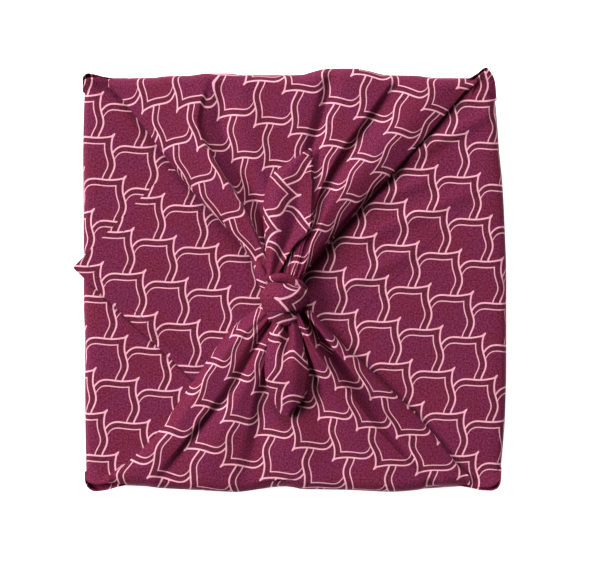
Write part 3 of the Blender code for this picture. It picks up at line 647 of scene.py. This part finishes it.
def nearest_on_wall(point):
    """The place on the wall that lies nearest to a point beside the parcel."""
    candidates = []
    for side, (along_way, out_way, _, _) in SIDES.items():
        along = np.linspace(-corner_reach(side, -1), corner_reach(side, 1), 301)
        place, out = wall_point(side, along, 0.6, 1.0)
        candidates.append(np.outer(place, along_way) + np.outer(out, out_way))
    wall_line = np.concatenate(candidates)
    return wall_line[np.argmin(((wall_line - point) ** 2).sum(axis=1))]


def ear(name, rim, top, chart, ear_reach):
    """The cloth of a corner: up the outside to a loose rim, and over the flap inside it."""
    rim = np.array(rim, float)
    rim = curve_through(np.linspace(0, 1, len(rim)), rim, np.linspace(0, 1, EAR_POINTS))
    spot, height, gap = rim[:, :2], (Z_FAN + rim[:, 2])[:, None], rim[:, 3:]
    foot = np.array([nearest_on_wall(point) for point in spot])
    rows = []
    for share in np.linspace(0, 1, EAR_ROWS):
        rows.append(np.hstack([foot + (spot - foot) * ease(share ** EAR_LEAN),
                               LIP_FOOT + (height - LIP_FOOT) * share]))
    inward = np.sign(spot.mean(axis=0)) * EAR_AIM - spot
    inward = inward / np.linalg.norm(inward, axis=1, keepdims=True)
    fold = height - LIP_DROP
    deep = np.minimum(gap * LIP_STEEP, LIP_DEEPEST)
    floor = np.minimum(top + EAR_CLEAR, fold)
    for back, down in LIP_ROUND:
        rows.append(np.hstack([spot + inward * back, height - down * np.minimum(1, 0.3 + gap)]))
    for share in LIP_FLOOR:
        rows.append(np.hstack([spot + inward * (LIP_WIDE + gap * share), fold - deep]))
    for share in np.linspace(0, 1, EAR_INNER_ROWS):
        back = LIP_WIDE + 0.2 + gap + (ear_reach - gap) * share
        rows.append(np.hstack([spot + inward * back, floor + (fold - floor) * (1 - ease(share))]))
    points = np.array(rows)
    drop = points[EAR_ROWS:EAR_ROWS + 1, :, 2] - points[:, :, 2]
    drop = (drop * (np.arange(len(points)) < EAR_ROWS)[:, None])[..., None]
    away = np.sign(spot) * np.maximum(np.abs(spot) - EAR_CENTRE, 0.1)
    away = away / np.linalg.norm(away, axis=1, keepdims=True)
    flat = points[..., :2] + away * drop
    lay(name, points, chart_print(chart, flat[..., 0], flat[..., 1]), flip=True)


class Value:
    """A number that varies over a surface: Python's operators add the Math nodes."""

    def __init__(self, recipe, socket):
        self.recipe, self.socket = recipe, socket

    def math(self, operation, *others):
        """The number that a Math node makes of this one and the others."""
        inputs = dict(enumerate((self, *others)))
        return self.recipe.node("ShaderNodeMath", {"operation": operation}, inputs)

    def __add__(self, other):
        return self.math("ADD", other)

    __radd__ = __add__

    def __mul__(self, other):
        return self.math("MULTIPLY", other)

    __rmul__ = __mul__

    def __sub__(self, other):
        return self.math("SUBTRACT", other)

    def __rsub__(self, other):
        return self.recipe.node("ShaderNodeMath", {"operation": "SUBTRACT"}, {0: other, 1: self})

    def __truediv__(self, other):
        return self.math("DIVIDE", other)

    def __pow__(self, other):
        return self.math("POWER", other)

    def __lt__(self, other):
        return self.math("LESS_THAN", other)

    def __abs__(self):
        return self.math("ABSOLUTE")


class Recipe:
    """A material being made, with its nodes."""

    def __init__(self, name):
        self.material = bpy.data.materials.new(name)
        self.material.use_nodes = True
        self.tree = self.material.node_tree
        self.shader = self.tree.nodes["Principled BSDF"]

    def node(self, kind, settings, inputs, output=0):
        """A node of a kind, its settings set first, then its sockets; the result is one output."""
        made = self.tree.nodes.new(kind)
        for name, value in settings.items():
            setattr(made, name, value)
        self.feed(made, inputs)
        return Value(self, made.outputs[output])

    def feed(self, node, inputs):
        """Give a node's inputs their links or plain values."""
        for name, value in inputs.items():
            if isinstance(value, Value):
                self.tree.links.new(value.socket, node.inputs[name])
            else:
                node.inputs[name].default_value = value

    def mix(self, share, first, second):
        """One colour passing into another."""
        return self.node("ShaderNodeMix", {"data_type": "RGBA"}, {0: share, 6: first, 7: second}, output=2)

    def soft(self, value, low, high, start=0.0, end=1.0):
        """A smooth step from start to end while value goes from low to high."""
        inputs = {"Value": value, "From Min": low, "From Max": high, "To Min": start, "To Max": end}
        return self.node("ShaderNodeMapRange", {"interpolation_type": "SMOOTHSTEP"}, inputs)

    def fade(self, value, low, high):
        """A smooth step from 1 to 0 while value goes from low to high."""
        return self.soft(value, low, high, 1.0, 0.0)

    def noise(self, vector, scale, detail=2.0, roughness=0.5):
        """A soft irregular number round 0.5."""
        inputs = {"Vector": vector, "Scale": scale, "Detail": detail, "Roughness": roughness}
        return self.node("ShaderNodeTexNoise", {}, inputs)

    def stretched(self, vector, scales):
        """A vector drawn out by a factor each way."""
        return self.node("ShaderNodeVectorMath", {"operation": "MULTIPLY"}, {0: vector, 1: scales})

    def uv(self, layer):
        """A layer's coordinates in millimetres: the vector, then its two numbers."""
        raw = self.node("ShaderNodeUVMap", {"uv_map": layer}, {})
        vector = self.node("ShaderNodeVectorMath", {"operation": "SCALE"}, {0: raw, "Scale": 1 / MM})
        first = self.node("ShaderNodeSeparateXYZ", {}, {0: vector})
        return vector, first, Value(self, first.socket.node.outputs[1])


# The print's one motif: a curved square whose upper and right edges are drawn as a double line, and
# whose left and lower neighbours cover it. Millimetres, from the motif's own tip.
TOP_SAG, TOP_WAVE, TOP_DROP, TOP_LENGTH = 1.65, 4.29, 7.3, 31.7
SIDE_BOW, SIDE_SWELL, SIDE_WAVE, SIDE_LENGTH = 0.6, 1.6, 7.1, 31.5
FLICK = 1.5  # how far a tip's point stands out
FLICK_RUN = (-2.4, 1.2)  # from the tip, where the point rises
TIP_ROOM = 0.06  # share of a repeat by which a tip's point may reach into the next one
TOP_BAND, SIDE_BAND = 5.0, 5.5  # from the motif's edge to the middle of its inner line
LINE_OUTER, LINE_INNER = 1.2, 0.8  # widths of the printed lines
LINE_LIMITS = (0.0005, 0.003)  # metres, between which a line's width can be set
LINE_BLUR, BAND_BLUR = 0.2, 0.3  # softness of the edges of the lines and of the band
SLOPE_STEP = 0.5  # to either side of a point, for the slope of a motif's edge


def top_edge(recipe, x):
    """Height of a motif's upper edge at x left of its tip."""
    u = (x * (-1 / TOP_LENGTH)).math("MAXIMUM", 0.0)
    return ((u * TOP_WAVE).math("SINE") * -TOP_SAG - u ** 6.5 * TOP_DROP
            + recipe.soft(x, *FLICK_RUN, 0.0, FLICK))


def side_edge(recipe, y):
    """How far right a motif's right edge lies at y below its tip."""
    v = (y * (-1 / SIDE_LENGTH)).math("MAXIMUM", 0.0)
    return ((v * SIDE_WAVE).math("SINE") * (v * SIDE_SWELL + SIDE_BOW) * -1.0
            + recipe.soft(y, *FLICK_RUN, 0.0, FLICK * 0.75))


def motif(recipe, x, y, line_outer, line_inner):
    """The print at x, y: how much of the pink line, and how much of the dark band, lies there."""
    (ax, ay), (bx, by) = REPEAT_ACROSS, REPEAT_UP
    repeat = ax * by - ay * bx
    across_count = (x * (by / repeat) - y * (bx / repeat) - TIP_ROOM).math("CEIL")
    up_count = (y * (ax / repeat) - x * (ay / repeat) - TIP_ROOM).math("CEIL")
    x0 = x - across_count * ax - up_count * bx
    y0 = y - across_count * ay - up_count * by
    # The point belongs to this motif, or to the one above it, right of it, or beyond both.
    below = y0 < top_edge(recipe, x0)
    left = x0 < side_edge(recipe, y0)
    left_above = (x0 - bx) < side_edge(recipe, y0 - by)
    below_right = (y0 - ay) < top_edge(recipe, x0 - ax)
    here = below * left
    above = (1 - below) * left_above
    right = (1 - left) * below_right
    step_up = (1 - here) * (1 - right)
    step_across = (1 - here) * (1 - above)
    x1 = x0 - step_across * ax - step_up * bx
    y1 = y0 - step_across * ay - step_up * by
    top = top_edge(recipe, x1)
    side = side_edge(recipe, y1)
    top_slope = top_edge(recipe, x1 + SLOPE_STEP) - top_edge(recipe, x1 - SLOPE_STEP)
    side_slope = side_edge(recipe, y1 + SLOPE_STEP) - side_edge(recipe, y1 - SLOPE_STEP)
    under = (top - y1) / (top_slope * top_slope + 1.0).math("SQRT")
    beside = (side - x1) / (side_slope * side_slope + 1.0).math("SQRT")
    outer = under.math("MINIMUM", beside)
    inner = (under - TOP_BAND).math("MINIMUM", beside - SIDE_BAND)
    outer_line = recipe.fade(outer, line_outer - LINE_BLUR, line_outer + LINE_BLUR)
    inner_line = recipe.fade(abs(inner), line_inner / 2 - LINE_BLUR, line_inner / 2 + LINE_BLUR)
    line = outer_line.math("MAXIMUM", inner_line)
    band = recipe.fade(inner, -BAND_BLUR, BAND_BLUR)
    return line, band


GRAIN = (2.1, 6.4, 4.6)  # how far the fibres' grain carries red, green and blue
SLUB_ALONG, SLUB_ASIDE = 0.16, 1.6  # how often thick places come along a thread and beside it
WEAVE_PITCH = 0.42  # half a wave of the plain weave, in millimetres
STITCH_PITCH = 2.6  # half a wave of the hem's stitches
CREASE = 175.0  # from the cloth's side to its pressed crease, a quarter of its width


def plum_cotton(sizes, colours):
    """Plum cotton printed with pink double lines, with a plain weave, hems, and ironed creases that dent
    the bump and carry painted shade.
    """
    recipe = Recipe("plum_cotton_print")
    vector, x, y = recipe.uv("print")
    _, far_hem, near_hem = recipe.uv("corner")
    line, band = motif(recipe, x, y, sizes.outer_line / MM, sizes.inner_line / MM)
    patches = recipe.soft(recipe.noise(vector, 0.03, 2.0, 0.55), 0.38, 0.62)
    ground = recipe.mix(patches, (*colours.wine, 1), (*colours.purple, 1))
    cloth = recipe.mix(band * 0.75, ground, (*colours.band, 1))
    warp_vector = recipe.stretched(vector, (SLUB_ASIDE, SLUB_ALONG, 1.0))
    weft_vector = recipe.stretched(vector, (SLUB_ALONG, SLUB_ASIDE, 1.0))
    slubs = recipe.noise(warp_vector, 1.0, 3.0) + recipe.noise(weft_vector, 1.0, 3.0)
    hem = far_hem.math("MINIMUM", near_hem)
    crease = abs(far_hem - CREASE)
    # Along the crease a quarter of the way in: a dent in the bump, and painted shade that darkens the
    # colour.
    crease_dent_and_shade = recipe.fade(crease, 0.2, 1.1) * recipe.soft(recipe.noise(vector, 0.02), 0.2, 0.4)
    stitch_run = recipe.soft(((far_hem + near_hem) * (math.pi / STITCH_PITCH)).math("SINE"), -0.3, 0.3)
    stitch = recipe.fade(abs(hem - sizes.hem / MM), 0.1, 0.5)
    grain = recipe.noise(vector, 0.75, 3.0, 0.75)
    fibres = [((grain - 0.5) * depth + 1.0).math("MAXIMUM", 0.1) for depth in GRAIN]
    tone = recipe.node("ShaderNodeCombineXYZ", {}, dict(enumerate(fibres)))
    cloth = recipe.stretched(cloth, tone)
    cloth = recipe.mix(line * (1 - stitch * stitch_run * 0.8), cloth, (*colours.line, 1))
    # The colour's brightness: thread grain and slubs, the stitching's darker line, and painted shade along
    # the creases.
    shade = 1.0 + (slubs - 1.0) * 0.30 + (grain - 0.5) * 0.4 - crease_dent_and_shade * 0.25 - stitch * 0.1
    colour = recipe.node("ShaderNodeVectorMath", {"operation": "SCALE"}, {0: cloth, "Scale": shade})
    warp = (x * (math.pi / WEAVE_PITCH)).math("SINE")
    weft = (y * (math.pi / WEAVE_PITCH)).math("SINE")
    height = warp * weft * 0.03 + (slubs - 1.0) * 0.12 - stitch * 0.25 - crease_dent_and_shade * 0.2
    bump = recipe.node("ShaderNodeBump", {}, {"Strength": 0.35, "Distance": 0.001, "Height": height})
    recipe.feed(recipe.shader, {
        "Base Color": colour, "Roughness": recipe.soft(slubs, 0.6, 1.4, 0.74, 0.88), "Normal": bump,
        "Specular IOR Level": 0.12})
    return recipe.material


def plain_floor(colour, glow):
    """A plain pale floor."""
    recipe = Recipe("pale_floor")
    position = recipe.node("ShaderNodeTexCoord", {}, {}, output=3)
    grain = recipe.noise(position, 3.0)
    shade = recipe.mix(grain, (*colour, 1), (*[min(1.0, c * 1.01) for c in colour], 1))
    recipe.feed(recipe.shader, {
        "Base Color": shade, "Roughness": 0.9, "Specular IOR Level": 0.1,
        "Emission Color": WHITE, "Emission Strength": glow})
    return recipe.material


def amount(name, description, default, unit="NONE", low=0.0, high=1000.0):
    """A property that holds one number."""
    return bpy.props.FloatProperty(name=name, description=description, default=default, unit=unit,
                                   min=low, max=high)


def tint(name, description, default):
    """A property that holds a colour."""
    return bpy.props.FloatVectorProperty(name=name, description=description, default=default,
                                         subtype="COLOR")


class FuroshikiSizes(bpy.types.PropertyGroup):
    """Sizes of the folds, the hem and the printed lines."""
    pleats: amount("Pleats", "Height of the fans' pleats, 1 being as tied here", 1.0, "NONE", 0.2, 1.05)
    ear: amount("Ear", "Reach of a corner ear over the flap inside it", EAR_REACH * MM, "LENGTH",
                0.008, 0.025)
    hem: amount("Hem", "Distance of the hem's stitching from the cloth's side", HEM * MM, "LENGTH",
                0.004, 0.015)
    outer_line: amount("Outer line", "Width of the printed outer line", LINE_OUTER * MM, "LENGTH",
                       *LINE_LIMITS)
    inner_line: amount("Inner line", "Width of the printed inner line", LINE_INNER * MM, "LENGTH",
                       *LINE_LIMITS)


class FuroshikiColours(bpy.types.PropertyGroup):
    """Colours of the printed cotton."""
    wine: tint("Wine", "Ground colour at its reddest", (0.152, 0.0145, 0.043))
    purple: tint("Purple", "Ground colour at its bluest", (0.150, 0.0155, 0.054))
    band: tint("Band", "Colour between the two lines", (0.110, 0.0125, 0.031))
    line: tint("Line", "Colour of the printed lines", (0.84, 0.39, 0.485))


class FuroshikiStage(bpy.types.PropertyGroup):
    """Floor, lights and camera."""
    floor: tint("Floor", "Colour of the floor", (0.95, 0.95, 0.95))
    glow: amount("Floor glow", "Light that the floor gives by itself", 0.9)
    camera_height: amount("Camera height", "Height of the camera over the parcel", 3.0, "LENGTH")
    view_width: amount("View width", "Width that the camera sees at the parcel", 0.4422, "LENGTH")
    sky: amount("Sky", "Strength of the even light from all round", 0.06)
    west: amount("Left light", "Power of the soft light at the left", 400.0, "POWER")
    north: amount("Far light", "Power of the soft light beyond the parcel", 260.0, "POWER")


class FUROSHIKI_OT_right_flap(bpy.types.Operator):
    """Lay the flap that is folded in from the right, over the left one"""
    bl_idname = "furoshiki.right_flap"
    bl_label = "Right flap"

    def execute(self, context):
        def shape(x, y):
            droop = np.clip((TIP_FROM - x) / TIP_SOFT, 0, 1) ** 2 * TIP_DROOP
            return Z_RIGHT + relief(x, y) + ridges(x, y, WRINKLES) - droop

        start = outline("right", np.array([0.0]))[0] - BELLY - SHOULDER
        rows_x = np.concatenate([np.linspace(start - RIGHT_INSET, RIGHT_LAST, RIGHT_ROWS),
                                 np.linspace(*TIP_SPAN, TIP_ROWS)])
        side_flap("flap_right", "right", FLAP_RIGHT_TIP, FLAP_RIGHT_SLOPES, Z_RIGHT, PRINT_RIGHT,
                  rows_x, RIGHT_COLUMNS, shape, context.scene.furoshiki_sizes.hem / MM)
        return {"FINISHED"}


class FUROSHIKI_OT_left_flap(bpy.types.Operator):
    """Lay the flap that is folded in from the left, under the right one"""
    bl_idname = "furoshiki.left_flap"
    bl_label = "Left flap"

    def execute(self, context):
        def shape(x, y):
            return Z_LEFT + relief(x, y) * 0.5

        rows_x = np.linspace(*LEFT_SPAN, LEFT_ROWS)
        side_flap("flap_left", "left", FLAP_LEFT_TIP, FLAP_LEFT_SLOPES, Z_LEFT, PRINT_LEFT,
                  rows_x, LEFT_COLUMNS, shape, context.scene.furoshiki_sizes.hem / MM)
        return {"FINISHED"}


class FUROSHIKI_OT_fans(bpy.types.Operator):
    """Gather the far and near ends of the cloth to the knot"""
    bl_idname = "furoshiki.fans"
    bl_label = "Far and near fans"

    def execute(self, context):
        pleats = context.scene.furoshiki_sizes.pleats
        fan("fan_far", "far", FAN_FAR, pleats)
        fan("fan_near", "near", FAN_NEAR, pleats)
        return {"FINISHED"}


class FUROSHIKI_OT_knot(bpy.types.Operator):
    """Tie the reef knot and lay its two tails"""
    bl_idname = "furoshiki.knot"
    bl_label = "Knot and tails"

    def execute(self, context):
        tail("tail_up", TAIL_UP, "up", flip=True)
        tail("tail_down", TAIL_DOWN, "down", flip=False)
        for part, table in KNOT_BUNDLES.items():
            bundle("knot_" + part, table, PRINT_KNOT[part])
        return {"FINISHED"}


class FUROSHIKI_OT_ears(bpy.types.Operator):
    """Stand the loose ears of cloth at the four corners"""
    bl_idname = "furoshiki.ears"
    bl_label = "Corner ears"

    def execute(self, context):
        for corner, rim in LIPS.items():
            top, chart = (Z_LEFT, PRINT_LEFT) if corner.endswith("left") else (Z_RIGHT, PRINT_RIGHT)
            ear("ear_" + corner.replace(" ", "_"), rim, top, chart, context.scene.furoshiki_sizes.ear / MM)
        return {"FINISHED"}


class FUROSHIKI_OT_join(bpy.types.Operator):
    """Join the stretches into the one cloth that they are, and give it its print"""
    bl_idname = "furoshiki.join"
    bl_label = "Join the cloth"

    def execute(self, context):
        stretches = [piece for piece in context.scene.objects if piece.get("furoshiki_stretch")]
        cloth = stretches[0]
        with context.temp_override(active_object=cloth, selected_editable_objects=stretches):
            if bpy.ops.object.join() != {"FINISHED"}:
                raise RuntimeError("The stretches of cloth couldn't be joined")
        cloth.name = "furoshiki_cotton"
        cloth.data.materials.clear()
        scene = context.scene
        cloth.data.materials.append(plum_cotton(scene.furoshiki_sizes, scene.furoshiki_colours))
        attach(cloth, "root")
        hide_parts("furoshiki_cloth")
        return {"FINISHED"}


class FUROSHIKI_OT_stage(bpy.types.Operator):
    """Lay the floor, hang the lights and set the camera"""
    bl_idname = "furoshiki.stage"
    bl_label = "Stage"

    def execute(self, context):
        stage = context.scene.furoshiki_stage
        bpy.ops.mesh.primitive_plane_add(size=8.0, location=(0, 0, -0.0002))
        floor = context.object
        floor.name = "floor"
        floor.data.materials.append(plain_floor(stage.floor, stage.glow))
        world = bpy.data.worlds.new("even_light")
        world.use_nodes = True
        background = world.node_tree.nodes["Background"]
        background.inputs["Color"].default_value = WHITE
        background.inputs["Strength"].default_value = stage.sky
        context.scene.world = world
        for name, azimuth, power in (("west_light", WEST_AZIMUTH, stage.west),
                                     ("north_light", NORTH_AZIMUTH, stage.north)):
            light = bpy.data.objects.new(name, bpy.data.lights.new(name, "AREA"))
            light.data.energy = power
            light.data.size = LIGHT_SIZE
            reach = LIGHT_DISTANCE * math.cos(LIGHT_ELEVATION)
            light.location = (reach * math.cos(azimuth), reach * math.sin(azimuth),
                              LIGHT_DISTANCE * math.sin(LIGHT_ELEVATION))
            light.rotation_euler = (-light.location).to_track_quat("-Z", "Y").to_euler()
            context.scene.collection.objects.link(light)
        camera = bpy.data.objects.new("camera", bpy.data.cameras.new("camera"))
        camera.data.lens = camera.data.sensor_width * stage.camera_height / stage.view_width
        camera.location = (*CAMERA_PLACE, stage.camera_height + Z_FAN * MM)
        context.scene.collection.objects.link(camera)
        context.scene.camera = camera
        context.scene.view_settings.view_transform = "Standard"
        return {"FINISHED"}


class FUROSHIKI_PT_panel(bpy.types.Panel):
    """Lists the pieces of the wrap"""
    bl_label = "Furoshiki wrap"
    bl_idname = "FUROSHIKI_PT_panel"
    bl_space_type = "VIEW_3D"
    bl_region_type = "UI"
    bl_category = "Furoshiki"

    def draw(self, context):
        for operator in OPERATORS:
            self.layout.operator(operator.bl_idname)
        for group in (getattr(context.scene, name) for name in GROUPS):
            for name in group.__annotations__:
                self.layout.prop(group, name)


OPERATORS = (FUROSHIKI_OT_right_flap, FUROSHIKI_OT_left_flap, FUROSHIKI_OT_fans, FUROSHIKI_OT_knot,
             FUROSHIKI_OT_ears, FUROSHIKI_OT_join, FUROSHIKI_OT_stage)
GROUPS = {"furoshiki_sizes": FuroshikiSizes, "furoshiki_colours": FuroshikiColours,
          "furoshiki_stage": FuroshikiStage}


def register():
    for item in (*GROUPS.values(), *OPERATORS, FUROSHIKI_PT_panel):
        bpy.utils.register_class(item)
    for name, group in GROUPS.items():
        setattr(bpy.types.Scene, name, bpy.props.PointerProperty(type=group))


def unregister():
    for name in GROUPS:
        delattr(bpy.types.Scene, name)
    for item in (FUROSHIKI_PT_panel, *reversed(OPERATORS), *reversed(GROUPS.values())):
        bpy.utils.unregister_class(item)


def main():
    register()
    for operator in OPERATORS:
        group, name = operator.bl_idname.split(".")
        getattr(getattr(bpy.ops, group), name)()
    bpy.context.view_layer.update()


if __name__ == "__main__":
    main()
